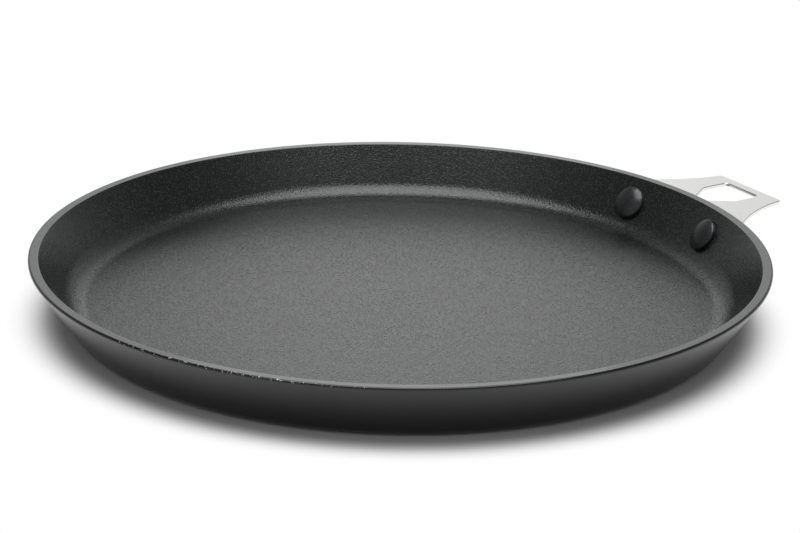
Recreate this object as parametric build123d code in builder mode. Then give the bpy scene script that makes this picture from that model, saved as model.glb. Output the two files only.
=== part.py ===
from build123d import *
import os
from math import asin, cos, degrees, pi, radians, sin, tan

os.makedirs("parts", exist_ok=True)

# A crepe pan: a low flared pan, a steel plate let into its thick base, and a bent sheet bracket
# riveted to its wall, onto which a removable handle slides.
# Lengths are in millimetres. The origin is the centre of the base where it stands, +Z is up, and
# the bracket reaches out along +X.

# Pan body
rim_diameter = 300.0
pan_height = 26.3
wall_lean_degrees = 35.0
wall_thickness = 4.0
floor_thickness = 7.0
rim_band_height = 1.1
rim_edge_radius = 0.8
inner_corner_radius = 12.0
base_corner_radius = 8.0

# Induction plate in the base
plate_diameter = 226.0
plate_depth = 0.6
perforation_diameter = 5.0
perforation_pitch = 15.7
first_ring_radius = 30.0
ring_spacing = 15.0
ring_count = 6
plate_clearance = 0.05

# Handle bracket
sheet_thickness = 1.5
sheet_edge_radius = 0.3
tab_below_rim = 3.3
tab_overhang = 32.5
tab_end_width = 40.0
tab_corner_radius = 1.2
tab_side_radius = 65.0
shoulder_inset = 1.4
flange_width = 72.0
flange_foot_height = 8.0
flange_corner_radius = 6.0
bend_inside_radius = 3.0

# Window in the bracket's tab
window_end_margin = 4.4
window_width = 21.6
window_straight_length = 12.8
window_neck_width = 7.6
window_neck_overhang = 5.5
window_corner_radius = 2.0

# Rivets
rivet_below_rim = 9.5
rivet_pitch = 50.4
shank_diameter = 6.0
shank_clearance = 0.05
head_diameter = 14.2
head_height = 3.4
head_edge_height = 1.6
head_shoulder_radius = 1.0
tail_diameter = 10.0
tail_height = 2.4
tail_edge_height = 0.7
tail_shoulder_radius = 0.6
seat_depth = 0.6

# One overrun serves all cuts
overrun = 5.0

# The pan's half section, worked out from its driving sizes
lean = radians(wall_lean_degrees)
rim_radius = rim_diameter / 2
band_foot = pan_height - rim_band_height
wall_foot = rim_radius - band_foot * tan(lean)
rim_land = wall_thickness / cos(lean) - rim_band_height * tan(lean)
inner_rim_radius = rim_radius - rim_land
inner_foot = inner_rim_radius - (pan_height - floor_thickness) * tan(lean)


def outer_wall_radius(height):
    """Radius of the wall's outer face at a height."""
    return wall_foot + height * tan(lean)


def inner_wall_radius(height):
    """Radius of the wall's inner face at a height."""
    return inner_rim_radius - (pan_height - height) * tan(lean)


# A rivet's seat is a plane on the wall's inner face, with its normal pointing into the pan
rivet_height = pan_height - rivet_below_rim
rivet_radius = inner_wall_radius(rivet_height)
rivet_angle = asin(rivet_pitch / 2 / rivet_radius)


def rivet_seat(side):
    """The plane of a rivet's seat. side is 1 for the left rivet and -1 for the right one."""
    turn = side * rivet_angle
    centre = Vector(rivet_radius * cos(turn), rivet_radius * sin(turn), rivet_height)
    inward = Vector(-cos(lean) * cos(turn), -cos(lean) * sin(turn), sin(lean))
    around = Vector(-sin(turn), cos(turn), 0)
    return Plane(origin=centre, x_dir=around, z_dir=inward)


rivet_seats = {"rivet_left": rivet_seat(1), "rivet_right": rivet_seat(-1)}
grip = wall_thickness + sheet_thickness

# The pan body is one turned section. Its base is recessed for the plate, and its metal fills the
# plate's perforations, which is what holds the plate.
with BuildPart() as pan_body:
    with BuildSketch(Plane.XZ) as pan_section:
        with BuildLine():
            Polyline(
                (0, 0),
                (wall_foot, 0),
                (rim_radius, band_foot),
                (rim_radius, pan_height),
                (inner_rim_radius, pan_height),
                (inner_foot, floor_thickness),
                (0, floor_thickness),
                close=True,
            )
        make_face()
        for corner, radius in (
            ((wall_foot, 0), base_corner_radius),
            ((inner_foot, floor_thickness), inner_corner_radius),
            ((rim_radius, pan_height), rim_edge_radius),
        ):
            fillet(pan_section.vertices().sort_by_distance(corner)[0], radius)
    revolve(axis=Axis.Z)
    with BuildSketch(Plane.XY):
        Circle(plate_diameter / 2 + plate_clearance)
    extrude(amount=plate_depth, mode=Mode.SUBTRACT)
    with BuildSketch(Plane.XY):
        for ring in range(ring_count):
            ring_radius = first_ring_radius + ring * ring_spacing
            with PolarLocations(ring_radius, round(2 * pi * ring_radius / perforation_pitch)):
                Circle(perforation_diameter / 2 - plate_clearance)
    extrude(amount=plate_depth)
    for seat in rivet_seats.values():
        with BuildSketch(seat):
            Circle(shank_diameter / 2 + shank_clearance)
        extrude(amount=wall_thickness + overrun, both=True, mode=Mode.SUBTRACT)
pan_body.part.label = "pan_body"

# The induction plate is a thin steel disc, flush with the base, perforated in rings
with BuildPart() as induction_plate:
    with BuildSketch(Plane.XY):
        Circle(plate_diameter / 2)
        for ring in range(ring_count):
            ring_radius = first_ring_radius + ring * ring_spacing
            with PolarLocations(ring_radius, round(2 * pi * ring_radius / perforation_pitch)):
                Circle(perforation_diameter / 2, mode=Mode.SUBTRACT)
    extrude(amount=plate_depth)
induction_plate.part.label = "induction_plate"

# The bracket is one bent sheet: its section runs up the wall and turns level into the tab. It is
# turned about the pan's axis so that the flange fits the wall, then cut to its outline.
tab_top = pan_height - tab_below_rim
tab_under = tab_top - sheet_thickness
tab_reach = rim_radius + tab_overhang
shoulder_reach = rim_radius - shoulder_inset
window_end = tab_reach - window_end_margin
window_shoulder = window_end - window_straight_length
window_neck = rim_radius + window_neck_overhang

with BuildPart() as handle_bracket:
    with BuildSketch(Plane.XZ) as sheet_section:
        upper_bend = (outer_wall_radius(tab_top), tab_top)
        lower_bend = (outer_wall_radius(tab_under) + sheet_thickness / cos(lean), tab_under)
        foot = (outer_wall_radius(flange_foot_height), flange_foot_height)
        with BuildLine():
            Polyline(
                foot,
                upper_bend,
                (tab_reach + overrun, tab_top),
                (tab_reach + overrun, tab_under),
                lower_bend,
                (foot[0] + sheet_thickness * cos(lean), foot[1] - sheet_thickness * sin(lean)),
                close=True,
            )
        make_face()
        for bend, radius in (
            (lower_bend, bend_inside_radius),
            (upper_bend, bend_inside_radius + sheet_thickness),
        ):
            fillet(sheet_section.vertices().sort_by_distance(bend)[0], radius)
    revolve(axis=Axis.Z)
    with BuildSketch(Plane.XY) as tab_outline:
        with BuildLine():
            side = RadiusArc(
                (shoulder_reach, flange_width / 2), (tab_reach, tab_end_width / 2), -tab_side_radius
            )
            Polyline((0, 0), (0, flange_width / 2), side @ 0)
            Line(side @ 1, (tab_reach, 0))
            mirror(about=Plane.XZ)
        make_face()
        ends = tab_outline.vertices().filter_by_position(Axis.X, tab_reach, tab_reach)
        fillet(ends.filter_by(lambda v: abs(v.Y) > 0), tab_corner_radius)
    extrude(amount=pan_height, mode=Mode.INTERSECT)
    with BuildSketch(Plane.YZ) as flange_outline:
        with Locations((0, flange_foot_height - sheet_thickness)):
            Rectangle(flange_width, pan_height, align=(Align.CENTER, Align.MIN))
        fillet(flange_outline.vertices().group_by(Axis.Z)[0], flange_corner_radius)
    extrude(amount=rim_diameter, mode=Mode.INTERSECT)
    with BuildSketch(Plane.XY) as window:
        with BuildLine():
            Polyline(
                (window_neck, 0),
                (window_neck, window_neck_width / 2),
                (window_shoulder, window_width / 2),
                (window_end, window_width / 2),
                (window_end, 0),
            )
            mirror(about=Plane.XZ)
        make_face()
        fillet(window.vertices().filter_by(lambda v: abs(v.Y) > 0), window_corner_radius)
    extrude(amount=pan_height, mode=Mode.SUBTRACT)
    for seat in rivet_seats.values():
        with BuildSketch(seat):
            Circle(shank_diameter / 2 + shank_clearance)
        extrude(amount=-(grip + overrun), mode=Mode.SUBTRACT)
    outline_edges = handle_bracket.edges().filter_by_position(Axis.Z, tab_top, tab_top)
    outline_edges += handle_bracket.edges().filter_by_position(Axis.Z, tab_under, tab_under)
    fillet(outline_edges, sheet_edge_radius)
handle_bracket.part.label = "handle_bracket"


def dome_radius(radius, rise):
    """Radius of the sphere whose cap has this edge radius and rise."""
    return (radius**2 + rise**2) / (2 * rise)


# Each rivet is turned about its own axis: a domed head inside the pan, a shank through the wall and
# the flange, and a smaller head formed on the flange. Both heads are pressed to the faces they seat on.
for name, seat in rivet_seats.items():
    head_radius = head_diameter / 2
    head_edge = (head_radius, head_edge_height)
    head_top = (0, head_height)
    tail_radius = tail_diameter / 2
    tail_edge = (tail_radius, -grip - tail_edge_height)
    tail_top = (0, -grip - tail_height)
    with BuildPart() as rivet:
        side_plane = Plane(origin=seat.origin, x_dir=seat.x_dir, z_dir=seat.x_dir.cross(seat.z_dir))
        with BuildSketch(side_plane) as rivet_section:
            with BuildLine():
                Line(head_top, tail_top)
                RadiusArc(tail_top, tail_edge, -dome_radius(tail_radius, tail_height - tail_edge_height))
                Polyline(
                    tail_edge,
                    (tail_radius, seat_depth - grip),
                    (shank_diameter / 2, seat_depth - grip),
                    (shank_diameter / 2, -seat_depth),
                    (head_radius, -seat_depth),
                    head_edge,
                )
                RadiusArc(head_edge, head_top, -dome_radius(head_radius, head_height - head_edge_height))
            make_face()
            for rim, radius in ((head_edge, head_shoulder_radius), (tail_edge, tail_shoulder_radius)):
                fillet(rivet_section.vertices().sort_by_distance(rim)[0], radius)
        revolve(axis=Axis(seat.origin, seat.z_dir))
        add(pan_body.part, mode=Mode.SUBTRACT)
        add(handle_bracket.part, mode=Mode.SUBTRACT)
    rivet.part.label = name
    export_step(rivet.part, f"parts/{name}.step")

export_step(pan_body.part, "parts/pan_body.step")
export_step(induction_plate.part, "parts/induction_plate.step")
export_step(handle_bracket.part, "parts/handle_bracket.step")

print("rim land", round(rim_land, 2), "wall foot radius", round(wall_foot, 2))
print("rivet half angle", round(degrees(rivet_angle), 2), "height", round(rivet_height, 2))
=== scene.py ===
# %% [markdown]
# # A crepe pan
# This lesson dresses a crepe pan: a low turned pan with a speckled non-stick coat, a bent steel
# bracket on its wall and two coated rivets. The construction model already has every piece at its
# real size, so it is loaded first as a fixed frame, and nothing here moves or resizes it.

import bmesh
import bpy
import numpy as np
from mathutils import Matrix, Vector


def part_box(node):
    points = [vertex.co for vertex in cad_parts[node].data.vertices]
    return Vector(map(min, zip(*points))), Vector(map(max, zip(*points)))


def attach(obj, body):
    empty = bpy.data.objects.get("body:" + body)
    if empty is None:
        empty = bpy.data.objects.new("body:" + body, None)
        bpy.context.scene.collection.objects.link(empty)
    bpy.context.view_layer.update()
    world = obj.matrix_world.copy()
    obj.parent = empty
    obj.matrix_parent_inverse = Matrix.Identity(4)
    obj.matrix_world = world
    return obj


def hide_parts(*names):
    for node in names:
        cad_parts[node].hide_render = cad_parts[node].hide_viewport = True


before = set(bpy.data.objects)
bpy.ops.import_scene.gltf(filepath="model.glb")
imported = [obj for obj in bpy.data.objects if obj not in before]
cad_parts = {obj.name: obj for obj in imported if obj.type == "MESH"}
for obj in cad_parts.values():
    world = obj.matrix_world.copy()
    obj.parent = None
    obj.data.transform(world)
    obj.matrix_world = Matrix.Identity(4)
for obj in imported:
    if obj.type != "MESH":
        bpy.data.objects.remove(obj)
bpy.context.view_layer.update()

mm = 0.001


# %% [markdown]
# ## Where the camera stands
# A long lens far from the pan flattens the perspective, as in a catalogue picture. The camera is
# placed by its azimuth, elevation and distance from the middle of the rim, then tilted and rolled a
# little. Aiming by angles is easier to read and to change than a matrix of nine numbers.

# %% Camera
pan_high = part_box("pan_body")[1]
rim_radius = pan_high.x
pan_height = pan_high.z

camera_azimuth = np.radians(-35.0)
camera_elevation = np.radians(19.2554)
camera_distance = 1.62934
camera_tilt = np.radians(-0.17351)
camera_roll = np.radians(-1.08662)
camera_lens = 181.6
camera_shift = -0.0006
camera_near = 100 * mm
sensor_width = 36.0

towards_camera = Vector((
    np.sin(camera_azimuth) * np.cos(camera_elevation),
    -np.cos(camera_azimuth) * np.cos(camera_elevation),
    np.sin(camera_elevation),
))
camera_data = bpy.data.cameras.new("camera")
camera_data.lens = camera_lens
camera_data.sensor_width = sensor_width
camera_data.clip_start = camera_near
camera_data.shift_x = camera_shift
camera = bpy.data.objects.new("camera", camera_data)
bpy.context.scene.collection.objects.link(camera)
turn = (-towards_camera).to_track_quat("-Z", "Y").to_matrix()
turn = turn @ Matrix.Rotation(camera_tilt, 3, "X") @ Matrix.Rotation(-camera_roll, 3, "Z")
camera_place = Vector((0, 0, pan_height)) + towards_camera * camera_distance
camera.matrix_world = Matrix.Translation(camera_place) @ turn.to_4x4()
bpy.context.scene.camera = camera
print("camera at", [round(edge, 3) for edge in camera_place], "m")

# %% [markdown]
# ## Surfaces from arrays
# Every new piece here is a grid of points: a profile carried round an axis, or round a window. One
# function turns such a grid into a mesh, so each piece only has to say where its points are. The
# grid's rows are joined to the next row, and its columns close on themselves.

# %% Grid to mesh
merge_distance = 0.0001 * mm


def grid_faces(rows, columns, rows_close=False):
    """The faces of a grid of points. Each joins points (i, j), (i, j + 1), (i + 1, j + 1) and
    (i + 1, j), and the columns wrap round."""
    row = np.arange(rows if rows_close else rows - 1)[:, None]
    column = np.arange(columns)[None, :]
    next_row, next_column = (row + 1) % rows, (column + 1) % columns
    return np.stack((
        row * columns + column,
        row * columns + next_column,
        next_row * columns + next_column,
        next_row * columns + column,
    ), axis=-1).reshape(-1, 4)


def closed_mesh(name, points, faces, smooth=True, slots=None):
    """A closed piece from points and faces. Points that coincide, as at a pole, are merged, and the
    faces are then turned outwards. slots gives each face's material slot."""
    mesh = bpy.data.meshes.new(name)
    mesh.from_pydata(points.reshape(-1, 3).tolist(), [], faces.tolist())
    if slots is not None:
        mesh.polygons.foreach_set("material_index", slots.astype(np.int32))
    shell = bmesh.new()
    shell.from_mesh(mesh)
    bmesh.ops.remove_doubles(shell, verts=shell.verts, dist=merge_distance)
    bmesh.ops.recalc_face_normals(shell, faces=shell.faces)
    shell.to_mesh(mesh)
    shell.free()
    mesh.polygons.foreach_set("use_smooth", np.full(len(mesh.polygons), smooth))
    piece = bpy.data.objects.new(name, mesh)
    bpy.context.scene.collection.objects.link(piece)
    print(name, len(mesh.vertices), "points,", len(mesh.polygons), "faces")
    return piece


def mesh_from_grid(name, grid, rows_close=False, row_slots=None):
    """A smooth piece from points[row, column]. row_slots gives each row's material slot."""
    rows, columns = grid.shape[:2]
    slots = None if row_slots is None else np.repeat(row_slots, columns)
    return closed_mesh(name, grid, grid_faces(rows, columns, rows_close), slots=slots)


def turned(profile, steps):
    """A profile of (r, z) points carried round the Z axis: (r cos a, r sin a, z)."""
    angle = np.linspace(0, 2 * np.pi, steps, endpoint=False)
    radius, height = profile[:, :1], profile[:, 1:]
    return np.stack((
        radius * np.cos(angle),
        radius * np.sin(angle),
        height + 0 * angle,
    ), axis=-1)


# %% [markdown]
# ## Rounded corners
# A real edge is never a mathematical line: a small round on it catches a highlight. A profile is
# written as a few corners, each with its radius, and the arcs are worked out. A pair of points that
# holds each arc's ends keeps the flat faces beside it flat when the mesh is shaded smooth.

# %% Corners with radii
hold_width = 0.04 * mm


def rounded(corners, radii, steps):
    """The path through the corners with each one rounded. An arc of radius r that turns through t
    starts and ends r tan(t / 2) from its corner, and its centre lies on the corner's bisector."""
    path = [np.array([corners[0]])]
    triples = zip(corners, corners[1:], corners[2:])
    for (before, corner, after), radius, count in zip(triples, radii, steps):
        corner = np.array(corner)
        back = np.array(before) - corner
        back /= np.linalg.norm(back)
        ahead = np.array(after) - corner
        ahead /= np.linalg.norm(ahead)
        opening = np.arccos(np.clip(back @ ahead, -1, 1))
        reach = radius / np.tan(opening / 2)
        bisector = (back + ahead) / np.linalg.norm(back + ahead)
        centre = corner + bisector * radius / np.sin(opening / 2)
        start = corner + back * reach - centre
        share = np.linspace(0, 1, count)[:, None]
        end = corner + ahead * reach - centre
        span = np.pi - opening
        arc = (start * np.sin((1 - share) * span) + end * np.sin(share * span)) / np.sin(span)
        path.append(corner + back[None] * (reach + hold_width))
        path.append(centre + arc)
        path.append(corner + ahead[None] * (reach + hold_width))
    path.append(np.array([corners[-1]]))
    return np.concatenate(path)


# %% [markdown]
# ## The pan
# The real pan is one casting, turned and coated. Its section runs from the middle of the base out
# to the wall, up to a flat rim and down the inner wall to the floor. Spinning that section about
# the axis is the natural way to make it, because every feature of the pan is round.

# %% Pan sizes
wall_lean = np.radians(35.0)
wall_thickness = 4.0 * mm
floor_level = 7.0 * mm
rim_band_height = 1.1 * mm
rim_edge_radius = 0.8 * mm
rim_inner_edge_radius = 0.35 * mm
band_edge_radius = 0.25 * mm
inner_corner_radius = 12.0 * mm
base_corner_radius = 8.0 * mm
plate_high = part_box("induction_plate")[1]
plate_radius = plate_high.x
plate_depth = plate_high.z
plate_clearance = 0.05 * mm
recess_radius = plate_radius + plate_clearance
recess_edge_radius = 0.1 * mm

band_foot = pan_height - rim_band_height
wall_foot = rim_radius - band_foot * np.tan(wall_lean)
rim_land = wall_thickness / np.cos(wall_lean) - rim_band_height * np.tan(wall_lean)
inner_rim_radius = rim_radius - rim_land
inner_foot = inner_rim_radius - (pan_height - floor_level) * np.tan(wall_lean)
print("rim land", round(rim_land / mm, 2), "mm wide, wall foot at", round(wall_foot / mm, 2), "mm")

# %% Pan surface
around_steps = 720
pan_corners = [
    (0, plate_depth),
    (recess_radius, plate_depth),
    (recess_radius, 0),
    (wall_foot, 0),
    (rim_radius, band_foot),
    (rim_radius, pan_height),
    (inner_rim_radius, pan_height),
    (inner_foot, floor_level),
    (0, floor_level),
]
pan_radii = [
    recess_edge_radius,
    recess_edge_radius,
    base_corner_radius,
    band_edge_radius,
    rim_edge_radius,
    rim_inner_edge_radius,
    inner_corner_radius,
]
pan_arc_steps = [3, 3, 16, 5, 8, 6, 36]
pan_profile = rounded(pan_corners, pan_radii, pan_arc_steps)

# The rim's flat land divides the profile: slot 0 is outside it, slot 1 on it and slot 2 inside.
land_ends = np.array([(rim_radius - rim_edge_radius, pan_height), (inner_rim_radius, pan_height)])
gaps = np.linalg.norm(pan_profile[None] - land_ends[:, None], axis=2)
row_slots = np.searchsorted(np.argmin(gaps, axis=1), np.arange(len(pan_profile) - 1), side="right")
pan = mesh_from_grid("pan", turned(pan_profile, around_steps), row_slots=row_slots)
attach(pan, "root")
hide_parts("pan_body")

# %% [markdown]
# ## The pips in the base
# The steel plate under the pan is held by the casting: metal was pressed through its perforations.
# Each one shows as a small round pip, flush with the plate. They are all the same short turned
# plug, so one grid is made and then shifted to every place by adding an array of centres.

# %% Pips
perforation_radius = 2.5 * mm
perforation_pitch = 15.7 * mm
first_ring_radius = 30.0 * mm
ring_spacing = 15.0 * mm
ring_count = 6
pip_sides = 16
pip_radius = perforation_radius - plate_clearance
pip_edge_radius = 0.15 * mm

pip_centres = []
for ring in range(ring_count):
    ring_radius = first_ring_radius + ring * ring_spacing
    count = round(2 * np.pi * ring_radius / perforation_pitch)
    pip_centres.append(turned(np.array([(ring_radius, 0)]), count)[0])
pip_centres = np.concatenate(pip_centres)

pip_profile = np.array([
    (0, 0),
    (pip_radius - pip_edge_radius, 0),
    (pip_radius, pip_edge_radius),
    (pip_radius, plate_depth),
    (0, plate_depth),
])


def mesh_from_copies(name, copies):
    """One piece with flat faces from points[copy, row, column]. The points of each copy are
    numbered on from those of the copy before it."""
    count, rows, columns = copies.shape[:3]
    first = np.arange(count)[:, None, None] * rows * columns
    faces = (first + grid_faces(rows, columns)).reshape(-1, 4)
    return closed_mesh(name, copies, faces, smooth=False)


pip_copies = pip_centres[:, None, None, :] + turned(pip_profile, pip_sides)[None]
pips = mesh_from_copies("base_pips", pip_copies)
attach(pips, "root")
print(len(pip_centres), "pips")

# %% [markdown]
# ## The bracket
# The real bracket is one steel sheet with a window cut in it, bent once: a tab that a handle grips,
# and a flange that follows the round wall. Its face is a band between two closed outlines, the
# window's and the sheet's own. Points are spread between matching points of the two, first on the
# flat pattern, and a bend then carries the flat pattern on to the pan.

# %% Bracket sizes
bracket_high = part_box("handle_bracket")[1]
sheet_thickness = 1.5 * mm
sheet_edge_radius = 0.3 * mm
tab_top = bracket_high.z
tab_reach = bracket_high.x
tab_end_half = 20.0 * mm
tab_corner_radius = 1.2 * mm
tab_side_radius = 65.0 * mm
shoulder_inset = 1.4 * mm
shoulder_reach = rim_radius - shoulder_inset
flange_half = bracket_high.y
flange_foot_height = 8.0 * mm
flange_corner_radius = 6.0 * mm
bend_inside_radius = 3.0 * mm
bend_radius = bend_inside_radius + sheet_thickness

window_end_margin = 4.4 * mm
window_straight_length = 12.8 * mm
window_neck_overhang = 5.5 * mm
window_end = tab_reach - window_end_margin
window_shoulder = window_end - window_straight_length
window_neck = rim_radius + window_neck_overhang
window_half = 10.8 * mm
window_neck_half = 3.8 * mm
window_corner_radius = 2.0 * mm

bend_angle = np.pi / 2 - wall_lean
bend_reach = bend_radius * np.tan(bend_angle / 2)
bend_start_radius = wall_foot + tab_top * np.tan(wall_lean) + bend_reach
bend_length = bend_radius * bend_angle
foot_length = (tab_top - flange_foot_height) / np.cos(wall_lean) - bend_reach
flat_length = tab_reach - bend_start_radius + bend_length + foot_length
print("the bracket's top face is", round(flat_length / mm, 1), "mm long when flat")


def sheet_section(along, depth):
    """(r, z) of a point of the sheet. along is measured inwards from the bend's outer end on the
    top face, so it is negative on the tab, and depth is measured down through the sheet. The tab
    is flat, the bend is an arc about a centre below it, and the flange runs straight down."""
    turn = np.clip(along / bend_radius, 0, bend_angle)
    past = np.maximum(along - bend_length, 0)
    before = np.minimum(along, 0)
    arc = bend_radius - depth
    radius = bend_start_radius - before - arc * np.sin(turn) - past * np.cos(bend_angle)
    height = tab_top - bend_radius + arc * np.cos(turn) - past * np.sin(bend_angle)
    return radius, height


# %% Paths along an outline
def plan_to_flat(points):
    """Flat-pattern places (along, y) of plan points (x, y) on the tab, by their distance from the
    pan's axis."""
    return np.column_stack((bend_start_radius - np.hypot(points[:, 0], points[:, 1]), points[:, 1]))


def path_lengths(path):
    """The length along a path of each of its points."""
    return np.concatenate(([0], np.cumsum(np.linalg.norm(np.diff(path, axis=0), axis=1))))


def points_at(path, wanted):
    """The points of a path at the wanted lengths along it."""
    length = path_lengths(path)
    return np.column_stack([np.interp(wanted, length, path[:, axis]) for axis in (0, 1)])


def finely(path, count=2000):
    """count points an equal length apart along a path, so that a straight edge of the plan keeps
    its shape where the flat pattern bends it."""
    return points_at(path, np.linspace(0, path_lengths(path)[-1], count))


def outline_loop(path, corners, count):
    """A closed loop from half an outline. Between one corner and the next it has count points, at
    lengths that follow half a cosine wave, so that they crowd towards the corners. The other half
    is its mirror image in y."""
    length = path_lengths(path)
    nearest = [np.argmin(np.linalg.norm(path - np.array(corner), axis=1)) for corner in corners]
    knots = np.concatenate(([0], length[nearest], length[-1:]))
    wave = (1 - np.cos(np.linspace(0, np.pi, count, endpoint=False))) / 2
    wanted = (knots[:-1, None] + np.diff(knots)[:, None] * wave).ravel()
    half = points_at(path, np.append(wanted, length[-1]))
    return np.concatenate((half, half[-2:0:-1] * (1, -1)))


# %% Bracket outlines
side_steps = 33
corner_steps = 9
flange_corner_steps = 17
points_per_side = 26

# The tab's side is an arc of known radius through its two ends, so its centre lies on the chord's
# perpendicular bisector.
side_start = np.array([tab_reach, tab_end_half])
side_end = np.array([shoulder_reach, flange_half])
side_chord = side_end - side_start
side_length = np.linalg.norm(side_chord)
side_normal = np.array([side_chord[1], -side_chord[0]]) / side_length
side_centre_distance = np.sqrt(tab_side_radius**2 - side_length**2 / 4)
side_centre = (side_start + side_end) / 2 + side_normal * side_centre_distance
side_angles = [np.arctan2(*(point - side_centre)[::-1]) for point in (side_start, side_end)]
side_angle = np.linspace(*side_angles, side_steps)
side_turn = np.column_stack((np.cos(side_angle), np.sin(side_angle)))
side_arc = side_centre + tab_side_radius * side_turn

foot_end = bend_length + foot_length
tab_corner = rounded(
    [(tab_reach, 0), side_start, side_arc[1]], [tab_corner_radius], [corner_steps]
)
tab_half = plan_to_flat(finely(np.concatenate((tab_corner, side_arc[2:]))))
flange_half_path = rounded(
    [tab_half[-1], (foot_end, flange_half), (foot_end, 0)],
    [flange_corner_radius],
    [flange_corner_steps],
)
sheet_half = np.concatenate((tab_half, flange_half_path[1:]))
sheet_corners = [
    plan_to_flat(side_start[None])[0],
    tab_half[-1],
    (foot_end, flange_half),
]

window_points = [
    (window_end, window_half),
    (window_shoulder, window_half),
    (window_neck, window_neck_half),
]
window_plan = rounded(
    [(window_end, 0), *window_points, (window_neck, 0)],
    [window_corner_radius] * len(window_points),
    [corner_steps] * len(window_points),
)
window_corners = plan_to_flat(np.array(window_points))
sheet_loop = outline_loop(sheet_half, sheet_corners, points_per_side)
window_loop = outline_loop(plan_to_flat(finely(window_plan)), window_corners, points_per_side)
print("outlines of", len(sheet_loop), "points round the sheet and its window")

# %% Bracket surface
face_steps = 72
edge_steps = 5
edge_turn = np.linspace(0, np.pi / 2, edge_steps + 1)[1:]


def sheet_rows():
    """Each row's share of the way from window to outline, its inset from the edge, and its depth.
    The rows go out over the top face, round the outer edge, back under it and up round the
    window's edge. An edge's round is a quarter circle above and one below."""
    across = np.linspace(0, 1, face_steps)
    at_window, at_outline = np.zeros(2 * edge_steps), np.ones(2 * edge_steps)
    inset = sheet_edge_radius * (1 - np.sin(edge_turn))
    drop = sheet_edge_radius * (1 - np.cos(edge_turn))
    flat = np.full(face_steps, sheet_edge_radius)
    share = np.concatenate((across, at_outline, across[::-1], at_window))
    insets = np.concatenate((flat, inset, inset[::-1], flat, inset, inset[::-1]))
    depth = np.concatenate((
        0 * flat, drop, sheet_thickness - drop[::-1],
        0 * flat + sheet_thickness, sheet_thickness - drop, drop[::-1],
    ))
    return share, insets, depth


def loop_normals(loop, side):
    """Unit normals of a loop: its tangent, from each point's two neighbours, turned a quarter."""
    tangent = np.roll(loop, -1, axis=0) - np.roll(loop, 1, axis=0)
    normal = np.column_stack((tangent[:, 1], -tangent[:, 0])) * side
    return normal / np.linalg.norm(normal, axis=1)[:, None]


share, insets, depth = (values[:, None] for values in sheet_rows())
outer = sheet_loop[None] + insets[..., None] * loop_normals(sheet_loop, 1)[None]
inner = window_loop[None] + insets[..., None] * loop_normals(window_loop, -1)[None]
flat = (1 - share[..., None]) * inner + share[..., None] * outer
radius, height = sheet_section(flat[..., 0], depth)
bracket_grid = np.stack((np.sqrt(radius**2 - flat[..., 1]**2), flat[..., 1], height), axis=-1)
bracket = mesh_from_grid("bracket", bracket_grid, rows_close=True)
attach(bracket, "root")
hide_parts("handle_bracket")

# %% [markdown]
# ## The rivets
# A rivet is turned: a broad low dome with a rounded shoulder inside the pan, a shank through the
# wall, and a smaller dome closed over the flange outside. The profile is drawn along its own axis,
# spun, and then carried to its seat, whose normal points up and into the pan.

# %% Rivet sizes
rivet_below_rim = 9.5 * mm
rivet_height = pan_height - rivet_below_rim
rivet_pitch = 50.4 * mm
head_radius = 7.1 * mm
head_rise = 3.4 * mm
head_edge_rise = 1.6 * mm
head_shoulder_radius = 1.0 * mm
tail_radius = 5.0 * mm
tail_rise = 2.4 * mm
tail_edge_rise = 0.7 * mm
tail_shoulder_radius = 0.6 * mm
shank_radius = 3.0 * mm
seat_depth = 0.6 * mm
grip = wall_thickness + sheet_thickness
rivet_radius = inner_rim_radius - rivet_below_rim * np.tan(wall_lean)
rivet_angle = np.arcsin(rivet_pitch / 2 / rivet_radius)
print("rivets", round(np.degrees(rivet_angle), 2), "degrees either side of the bracket's middle")


# %% Rivet surfaces
def domed_head(edge_radius, edge_rise, rise, shoulder, steps=24):
    """(r, z) points from the axis to the skirt of a domed head. The dome is an arc of radius
    (a^2 + h^2) / 2h for an edge of radius a and a height h over it. The shoulder's arc touches the
    dome inside and the skirt, so its centre is one shoulder radius in from both."""
    height = rise - edge_rise
    dome = (edge_radius**2 + height**2) / (2 * height)
    dome_centre = rise - dome
    centre_radius = edge_radius - shoulder
    centre_height = dome_centre + np.sqrt((dome - shoulder)**2 - centre_radius**2)
    touch = np.arctan2(centre_height - dome_centre, centre_radius)
    dome_turn = np.linspace(np.pi / 2, touch, steps)
    shoulder_turn = np.linspace(touch, 0, steps // 2)[1:]
    return np.concatenate((
        np.column_stack((dome * np.cos(dome_turn), dome_centre + dome * np.sin(dome_turn))),
        np.column_stack((
            centre_radius + shoulder * np.cos(shoulder_turn),
            centre_height + shoulder * np.sin(shoulder_turn),
        )),
    ))


head = domed_head(head_radius, head_edge_rise, head_rise, head_shoulder_radius)
tail = domed_head(tail_radius, tail_edge_rise, tail_rise, tail_shoulder_radius)
rivet_profile = np.concatenate((
    head,
    [
        (head_radius, -seat_depth),
        (shank_radius, -seat_depth),
        (shank_radius, seat_depth - grip),
        (tail_radius, seat_depth - grip),
    ],
    tail[::-1] * (1, -1) - (0, grip),
))
# Both ends lie on the axis exactly, so that their points merge
rivet_profile[[0, -1], 0] = 0
rivet_sides = 96

up = np.array([0, 0, 1])
rivets = []
for name, side in (("left", 1), ("right", -1)):
    angle = side * rivet_angle
    outwards = np.array([np.cos(angle), np.sin(angle), 0])
    around = np.array([-np.sin(angle), np.cos(angle), 0])
    inward = np.sin(wall_lean) * up - np.cos(wall_lean) * outwards
    axes = np.stack((around, np.cross(inward, around), inward))
    seat = rivet_radius * outwards + rivet_height * up
    rivet = mesh_from_grid(f"rivet_{name}_head", turned(rivet_profile, rivet_sides) @ axes + seat)
    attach(rivet, "root")
    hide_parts(f"rivet_{name}")
    rivets.append(rivet)

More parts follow.
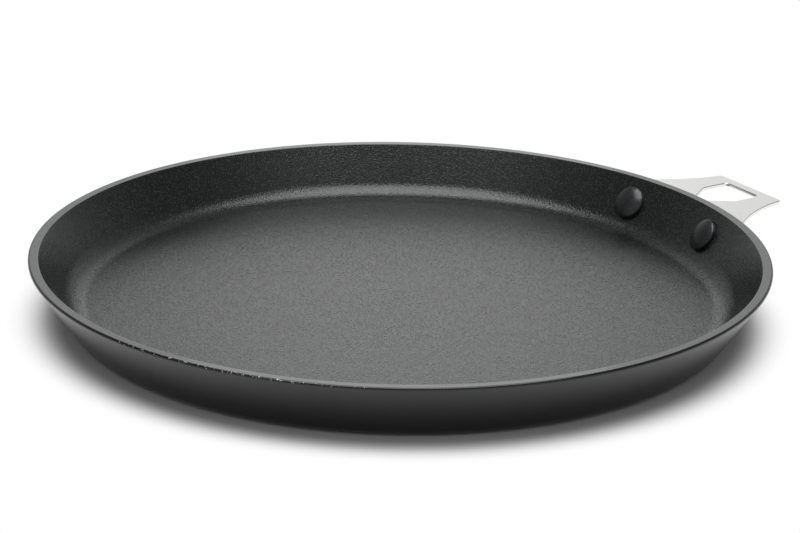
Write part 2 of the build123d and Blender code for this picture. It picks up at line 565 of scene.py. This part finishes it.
# %% [markdown]
# ## Finishes
# The coat is sprayed on in a thin layer with hard grains in it, which stand out as a fine pebble
# skin and a few pale flecks. The inside, the rim, the rivets and the outside all use it, so the
# pattern is a node group with its own inputs and outputs, built once. Nothing in it depends on the
# view.

# %% Node helpers
def fill(tree, socket, value):
    """Fills an input: another node's socket is linked to it, and anything else is its value."""
    if isinstance(value, bpy.types.NodeSocket):
        tree.links.new(value, socket)
    else:
        socket.default_value = value


def fill_inputs(tree, node, values):
    """Fills a node's inputs from a dictionary of their names or numbers."""
    for name, value in values.items():
        fill(tree, node.inputs[name], value)


def add_node(tree, kind, values=None, **settings):
    """A node with its settings made first, because a group's inputs depend on them, and then its
    inputs filled."""
    node = tree.nodes.new(kind)
    for name, value in settings.items():
        setattr(node, name, value)
    fill_inputs(tree, node, values or {})
    return node


def calculate(tree, operation, *values, **settings):
    """The output of a math node, with its inputs filled in order."""
    numbered = dict(enumerate(values))
    return add_node(tree, "ShaderNodeMath", numbered, operation=operation, **settings).outputs[0]


def blend(tree, factor, first, second, kind="RGBA"):
    """The output of a mix of two colours or two numbers. A mix node keeps one pair of inputs for
    each kind of value, and the pairs share their names, so they are picked by their kind."""
    node = tree.nodes.new("ShaderNodeMix")
    node.data_type = kind
    wanted = {"RGBA": "RGBA", "FLOAT": "VALUE"}[kind]
    pair = [socket for socket in node.inputs if socket.type == wanted and socket.name in ("A", "B")]
    for socket, value in zip([node.inputs[0], *pair], (factor, first, second)):
        fill(tree, socket, value)
    return next(socket for socket in node.outputs if socket.type == wanted)


def new_material(name):
    """A material, its node tree and its shader node."""
    material = bpy.data.materials.new(name)
    material.use_nodes = True
    tree = material.node_tree
    return material, tree, tree.nodes["Principled BSDF"]


def new_group(name, inputs, outputs):
    """A node group with sockets made from (name, kind) rows, and its two lists of inner sockets."""
    group = bpy.data.node_groups.new(name, "ShaderNodeTree")
    for in_out, rows in (("INPUT", inputs), ("OUTPUT", outputs)):
        for socket_name, kind in rows:
            group.interface.new_socket(socket_name, in_out=in_out, socket_type=kind)
    group_inputs = group.nodes.new("NodeGroupInput").outputs
    group_outputs = group.nodes.new("NodeGroupOutput").inputs
    return group, group_inputs, group_outputs


# %% The pebble skin
fleck_scale = 2300.0
fleck_reach = 0.36
even_mix = 0.5

pebble, pebble_in, pebble_out = new_group(
    "pebble_skin",
    [
        ("Vector", "NodeSocketVector"),
        ("Grain Scale", "NodeSocketFloat"),
        ("Fleck Rarity", "NodeSocketFloat"),
    ],
    [
        ("Height", "NodeSocketFloat"),
        ("Tone", "NodeSocketFloat"),
        ("Flecks", "NodeSocketFloat"),
    ],
)
grains = add_node(pebble, "ShaderNodeTexVoronoi", {
    "Vector": pebble_in["Vector"], "Scale": pebble_in["Grain Scale"], "Randomness": 1.0,
}, feature="SMOOTH_F1")
swell = add_node(pebble, "ShaderNodeTexNoise", {
    "Vector": pebble_in["Vector"], "Scale": pebble_in["Grain Scale"],
    "Detail": 2.0, "Roughness": 0.6,
})
spots = add_node(pebble, "ShaderNodeTexVoronoi", {
    "Vector": pebble_in["Vector"], "Scale": fleck_scale, "Randomness": 1.0,
})
spot_colour = add_node(pebble, "ShaderNodeSeparateColor", {"Color": spots.outputs["Color"]})
rare = calculate(pebble, "GREATER_THAN", spot_colour.outputs["Red"], pebble_in["Fleck Rarity"])
small = calculate(pebble, "LESS_THAN", spots.outputs["Distance"], fleck_reach)
skin_height = blend(
    pebble, even_mix, grains.outputs["Distance"], swell.outputs["Fac"], kind="FLOAT"
)
fill(pebble, pebble_out["Height"], skin_height)
fill(pebble, pebble_out["Tone"], spot_colour.outputs["Green"])
fill(pebble, pebble_out["Flecks"], calculate(pebble, "MULTIPLY", rare, small))
print("group", pebble.name, "of", len(pebble.nodes), "nodes")

# %% [markdown]
# ## The coat inside the pan
# Seen at a grazing angle, a dark coat looks grey because its surface mirrors the bright room. That
# is the shader's own gloss, so the colour stays nearly black and the roughness does the rest. The
# rim is smoother than the inside, and mirrors more.

# %% Inside coat
coat_colours = (0.0020, 0.0040, 0.0035, 1), (0.0100, 0.0138, 0.0130, 1)
# The rivets' colours are the coat's own dark colour lifted a little. The lift is painted light that
# stands in for the lamp's light on their domes.
rivet_colours_with_painted_light = (0.0100, 0.0122, 0.0130, 1), (0.0200, 0.0240, 0.0250, 1)
fleck_colour = (0.066, 0.080, 0.076, 1)
coat_gloss = 1.55
rim_gloss = 2.0
tone_low = 0.3
tone_high = 0.7
fine_grain_scale = 2600.0
soft_bump_strength = 0.3


def coated(name, colours, roughness, grain_scale, bump_depth, bump_strength, rarity, gloss):
    """A coat: a dark colour with grains of a lighter and glossier one, flecks, and the skin as a
    bump. colours and roughness each hold the dark coat's value and then its grains'."""
    material, tree, shader = new_material(name)
    skin = add_node(tree, "ShaderNodeGroup", {
        "Vector": add_node(tree, "ShaderNodeTexCoord").outputs["Object"],
        "Grain Scale": grain_scale,
        "Fleck Rarity": rarity,
    }, node_tree=pebble).outputs
    tone = add_node(tree, "ShaderNodeMapRange", {
        "Value": skin["Tone"], "From Min": tone_low, "From Max": tone_high,
    }).outputs["Result"]
    grain = blend(tree, tone, *colours)
    bump = add_node(tree, "ShaderNodeBump", {
        "Strength": bump_strength, "Distance": bump_depth, "Height": skin["Height"],
    })
    fill_inputs(tree, shader, {
        "IOR": gloss,
        "Base Color": blend(tree, skin["Flecks"], grain, fleck_colour),
        "Roughness": blend(tree, tone, *roughness, kind="FLOAT"),
        "Normal": bump.outputs["Normal"],
    })
    return material


inside_coat = coated(
    "coat_inside", coat_colours, roughness=(0.28, 0.06), grain_scale=1700.0,
    bump_depth=0.150 * mm, bump_strength=1.0, rarity=0.66, gloss=coat_gloss,
)
# The rivets' coat is a lighter copy of the coat: its colours carry painted light on the domes.
rivet_coat_with_painted_light = coated(
    "coat_rivet_painted_light", rivet_colours_with_painted_light, roughness=(0.28, 0.22), grain_scale=2200.0,
    bump_depth=0.012 * mm, bump_strength=0.5, rarity=0.90, gloss=coat_gloss,
)
rim_coat = coated(
    "coat_rim", coat_colours, roughness=(0.11, 0.09), grain_scale=fine_grain_scale,
    bump_depth=0.006 * mm, bump_strength=soft_bump_strength, rarity=0.97, gloss=rim_gloss,
)

# %% [markdown]
# ## The coat outside, with its chipped edge
# Outside the coat is smoother too. Knocks along the rim's outer edge have chipped it, so bright
# metal shows in small irregular spots. A mask picks a thin ring at the edge, a stretch of it
# by its direction from the middle, and the peaks of a noise. All of it follows the object's place.

# %% Outside coat
outside_colours = (0.0060, 0.0060, 0.0064, 1), (0.0100, 0.0100, 0.0104, 1)
outside_roughness = 0.18
outside_gloss = 1.50
outside_bump_depth = 0.0075 * mm
metal_colour = (0.62, 0.62, 0.62, 1)
metal_roughness = 0.5
chip_ring_width = 0.7 * mm
chip_middle = np.radians(-152.0)
chip_spread = np.cos(np.radians(24.0))
chip_noise_scale = 900.0
chip_threshold_middle = 0.60
chip_threshold_away = 0.70

outside_coat, tree, shader = new_material("coat_outside")
place = add_node(tree, "ShaderNodeTexCoord").outputs["Object"]
outside_skin = add_node(tree, "ShaderNodeGroup", {
    "Vector": place, "Grain Scale": fine_grain_scale,
}, node_tree=pebble).outputs
coordinates = add_node(tree, "ShaderNodeSeparateXYZ", {"Vector": place})
flat_place = add_node(tree, "ShaderNodeVectorMath", {
    0: place, 1: (1, 1, 0),
}, operation="MULTIPLY").outputs[0]
from_axis = add_node(tree, "ShaderNodeVectorMath", {0: flat_place}, operation="LENGTH")
direction = add_node(tree, "ShaderNodeVectorMath", {0: flat_place}, operation="NORMALIZE")
facing = add_node(tree, "ShaderNodeVectorMath", {
    0: direction.outputs[0], 1: (np.cos(chip_middle), np.sin(chip_middle), 0),
}, operation="DOT_PRODUCT")
threshold = add_node(tree, "ShaderNodeMapRange", {
    "Value": facing.outputs["Value"], "From Min": chip_spread, "From Max": 1.0,
    "To Min": chip_threshold_away, "To Max": chip_threshold_middle,
})
knocks = add_node(tree, "ShaderNodeTexNoise", {
    "Vector": place, "Scale": chip_noise_scale, "Detail": 3.0, "Roughness": 0.7,
})
chips = calculate(tree, "GREATER_THAN", knocks.outputs["Fac"], threshold.outputs["Result"])
for reading, limit in (
    (from_axis.outputs["Value"], rim_radius),
    (coordinates.outputs["Z"], pan_height),
):
    at_edge = calculate(tree, "GREATER_THAN", reading, limit - chip_ring_width)
    chips = calculate(tree, "MULTIPLY", chips, at_edge)
outside_bump = add_node(tree, "ShaderNodeBump", {
    "Strength": soft_bump_strength, "Distance": outside_bump_depth,
    "Height": outside_skin["Height"],
})
outside_tone = blend(tree, outside_skin["Tone"], *outside_colours)
fill_inputs(tree, shader, {
    "IOR": outside_gloss,
    "Base Color": blend(tree, chips, outside_tone, metal_colour),
    "Metallic": chips,
    "Roughness": blend(tree, chips, outside_roughness, metal_roughness, kind="FLOAT"),
    "Normal": outside_bump.outputs["Normal"],
})

# %% [markdown]
# ## Steel
# The bracket is satin stainless sheet with a fine drawn grain, and the plate under the pan is
# duller steel with an even one. A second node group makes both: it stretches a noise along one
# direction, or not at all. The grain changes the roughness and gives a very shallow bump.

# %% Steel finishes
drawn, drawn_in, drawn_out = new_group(
    "drawn_grain",
    [
        ("Vector", "NodeSocketVector"),
        ("Grain Scale", "NodeSocketFloat"),
        ("Stretch", "NodeSocketVector"),
    ],
    [("Grain", "NodeSocketFloat")],
)
stretched = add_node(drawn, "ShaderNodeVectorMath", {
    0: drawn_in["Vector"], 1: drawn_in["Stretch"],
}, operation="MULTIPLY")
lines = add_node(drawn, "ShaderNodeTexNoise", {
    "Vector": stretched.outputs[0], "Scale": drawn_in["Grain Scale"],
    "Detail": 3.0, "Roughness": 0.6,
})
fill(drawn, drawn_out["Grain"], lines.outputs["Fac"])


def steel(name, colours, roughness, grain_scale, stretch, bump_depth):
    """Steel whose colour and roughness vary with its grain, which is also a shallow bump. colours
    and roughness each hold the value in the grain's hollows and then the one on its crests."""
    material, tree, shader = new_material(name)
    grain = add_node(tree, "ShaderNodeGroup", {
        "Vector": add_node(tree, "ShaderNodeTexCoord").outputs["Object"],
        "Grain Scale": grain_scale,
        "Stretch": stretch,
    }, node_tree=drawn).outputs["Grain"]
    bump = add_node(tree, "ShaderNodeBump", {
        "Strength": soft_bump_strength, "Distance": bump_depth, "Height": grain,
    })
    fill_inputs(tree, shader, {
        "Base Color": blend(tree, grain, *colours),
        "Metallic": 1.0,
        "Roughness": blend(tree, grain, *roughness, kind="FLOAT"),
        "Normal": bump.outputs["Normal"],
    })
    return material


bracket_steel = steel(
    "steel_bracket", colours=((0.85, 0.85, 0.84, 1), (0.88, 0.88, 0.87, 1)),
    roughness=(0.22, 0.28), grain_scale=2500.0, stretch=(1.0, 0.08, 1.0),
    bump_depth=0.0003 * mm,
)
plate_steel = steel(
    "steel_plate", colours=((0.50, 0.50, 0.49, 1), (0.62, 0.62, 0.61, 1)),
    roughness=(0.34, 0.50), grain_scale=700.0, stretch=(1.0, 1.0, 1.0),
    bump_depth=0.004 * mm,
)

# %% Finishes to pieces
for material in (outside_coat, rim_coat, inside_coat):
    pan.data.materials.append(material)
pips.data.materials.append(outside_coat)
bracket.data.materials.append(bracket_steel)
for rivet in rivets:
    rivet.data.materials.append(rivet_coat_with_painted_light)
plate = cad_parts["induction_plate"]
plate.data.materials.clear()
plate.data.materials.append(plate_steel)
print("finishes", [material.name for material in bpy.data.materials])

# %% [markdown]
# ## Floor and light
# The pan stands on a pale floor in a white studio. Near the pan the floor is plain matt white and
# takes its shadow. Further out it shows as pure white to the camera and in reflections, which gives
# the white background without any more light. In a ring from a little inside the rim to a little
# outside it, that white is blended in by distance from the middle. The shadow's fade to white there
# is therefore partly cast and partly painted. What the pan mirrors is white straight behind it and
# falls off sideways and upwards, as 1 / (1 + a / s) with the angle a to the side. A broad soft lamp
# hangs overhead and a small soft one stands behind.

# %% Floor
floor_half = 4.0
floor_colour = (0.90, 0.90, 0.90, 1)
floor_roughness = 0.9
white_colour = (1, 1, 1, 1)
# Between these two radii the floor's shadow is painted to fade out: the white is blended in by
# distance from the middle.
painted_fade_start = rim_radius - 14.0 * mm
painted_fade_end = rim_radius + 10.0 * mm

floor_mesh = bpy.data.meshes.new("floor")
floor_mesh.from_pydata(
    [(-floor_half, -floor_half, 0), (floor_half, -floor_half, 0),
     (floor_half, floor_half, 0), (-floor_half, floor_half, 0)],
    [], [(0, 1, 2, 3)],
)
floor = bpy.data.objects.new("floor", floor_mesh)
bpy.context.scene.collection.objects.link(floor)

floor_finish, tree, shader = new_material("floor_finish")
fill_inputs(tree, shader, {
    "Base Color": floor_colour, "Roughness": floor_roughness, "Specular IOR Level": 0.0,
})
from_middle = add_node(tree, "ShaderNodeVectorMath", {
    0: add_node(tree, "ShaderNodeTexCoord").outputs["Object"],
}, operation="LENGTH")
# Painted shadow fade: 0 inside the ring and 1 outside it, by distance from the pan's middle.
painted_fade = add_node(tree, "ShaderNodeMapRange", {
    "Value": from_middle.outputs["Value"], "From Min": painted_fade_start, "From Max": painted_fade_end,
}, interpolation_type="SMOOTHSTEP")


def ray_masks(tree):
    """Two masks: 1 for a ray from the camera, and 1 for one that is mirrored or let through."""
    rays = add_node(tree, "ShaderNodeLightPath").outputs
    mirrored = calculate(tree, "ADD", rays["Is Glossy Ray"], rays["Is Transmission Ray"])
    return rays["Is Camera Ray"], mirrored


seen = calculate(tree, "ADD", *ray_masks(tree))
white_share = calculate(tree, "MULTIPLY", painted_fade.outputs["Result"], seen, use_clamp=True)
white = add_node(tree, "ShaderNodeEmission", {"Color": white_colour, "Strength": 1.0})
joined = add_node(tree, "ShaderNodeMixShader", {
    0: white_share, 1: shader.outputs["BSDF"], 2: white.outputs["Emission"],
})
fill(tree, tree.nodes["Material Output"].inputs["Surface"], joined.outputs["Shader"])
floor_mesh.materials.append(floor_finish)
print("floor of", 2 * floor_half, "m, white beyond", round(painted_fade_end / mm), "mm")

# %% Room light
room_sides = 0.15
room_front = 0.40
room_front_cosine = -0.7
backdrop_spread = 0.46
backdrop_edge = np.radians(90.0)
backdrop_top = np.radians(22.0)
room_top = np.radians(45.0)
backdrop_high = 0.15
back_direction = Vector((-np.sin(camera_azimuth), np.cos(camera_azimuth), 0))

world = bpy.data.worlds.new("room")
bpy.context.scene.world = world
world.use_nodes = True
tree = world.node_tree
looking = add_node(tree, "ShaderNodeTexCoord").outputs["Generated"]
flat_looking = add_node(tree, "ShaderNodeVectorMath", {
    0: looking, 1: (1, 1, 0),
}, operation="MULTIPLY")
level = add_node(tree, "ShaderNodeVectorMath", {
    0: flat_looking.outputs[0],
}, operation="NORMALIZE")
backwards = add_node(tree, "ShaderNodeVectorMath", {
    0: level.outputs[0], 1: back_direction,
}, operation="DOT_PRODUCT").outputs["Value"]
aside = calculate(tree, "ARCCOSINE", backwards)
falloff = calculate(
    tree, "DIVIDE", 1.0, calculate(tree, "MULTIPLY_ADD", aside, 1 / backdrop_spread, 1.0)
)
across = add_node(tree, "ShaderNodeMapRange", {
    "Value": falloff,
    "From Min": 1 / (1 + backdrop_edge / backdrop_spread), "From Max": 1.0,
})
heading = add_node(tree, "ShaderNodeSeparateXYZ", {"Vector": looking})
upwards = add_node(tree, "ShaderNodeMapRange", {
    "Value": heading.outputs["Z"],
    "From Min": np.sin(backdrop_top), "From Max": np.sin(room_top),
    "To Min": 1.0, "To Max": backdrop_high,
}, interpolation_type="SMOOTHSTEP")
backdrop = calculate(tree, "MULTIPLY", across.outputs["Result"], upwards.outputs["Result"])
room = add_node(tree, "ShaderNodeMapRange", {
    "Value": backwards, "From Min": 0.0, "From Max": room_front_cosine,
    "To Min": room_sides, "To Max": room_front,
}, interpolation_type="SMOOTHSTEP")
from_camera, mirrored = ray_masks(tree)
mirrored_white = calculate(tree, "MULTIPLY", mirrored, backdrop)
white_share = calculate(tree, "ADD", from_camera, mirrored_white, use_clamp=True)
fill_inputs(tree, tree.nodes["Background"], {
    "Color": white_colour,
    "Strength": blend(tree, white_share, room.outputs["Result"], 1.0, kind="FLOAT"),
})
print("room light", room_sides, "at the sides and", room_front, "in front")


# %% Soft lamps
def soft_lamp(name, width, height, power, place):
    """A rectangular lamp whose broad face gives soft shadows."""
    lamp_data = bpy.data.lights.new(name, "AREA")
    lamp_data.shape = "RECTANGLE"
    lamp_data.size = width
    lamp_data.size_y = height
    lamp_data.energy = power
    lamp = bpy.data.objects.new(name, lamp_data)
    lamp.location = place
    bpy.context.scene.collection.objects.link(lamp)
    print(name, power, "W at", [round(edge, 3) for edge in place], "m")
    return lamp


overhead_back = 0.1
overhead_height = 1.2
overhead_lamp = soft_lamp(
    "overhead_lamp", width=1.0, height=1.0, power=11.5,
    place=back_direction * overhead_back + Vector((0, 0, overhead_height)),
)
overhead_lamp.rotation_euler.z = camera_azimuth

back_distance = 1.2
back_rise = 0.44
back_lamp = soft_lamp(
    "back_lamp", width=0.30, height=0.50, power=0.14,
    place=back_direction * back_distance + Vector((0, 0, back_rise)),
)
back_lamp.rotation_euler = back_lamp.location.to_track_quat("Z", "Y").to_euler()
bpy.context.scene.view_settings.view_transform = "Standard"
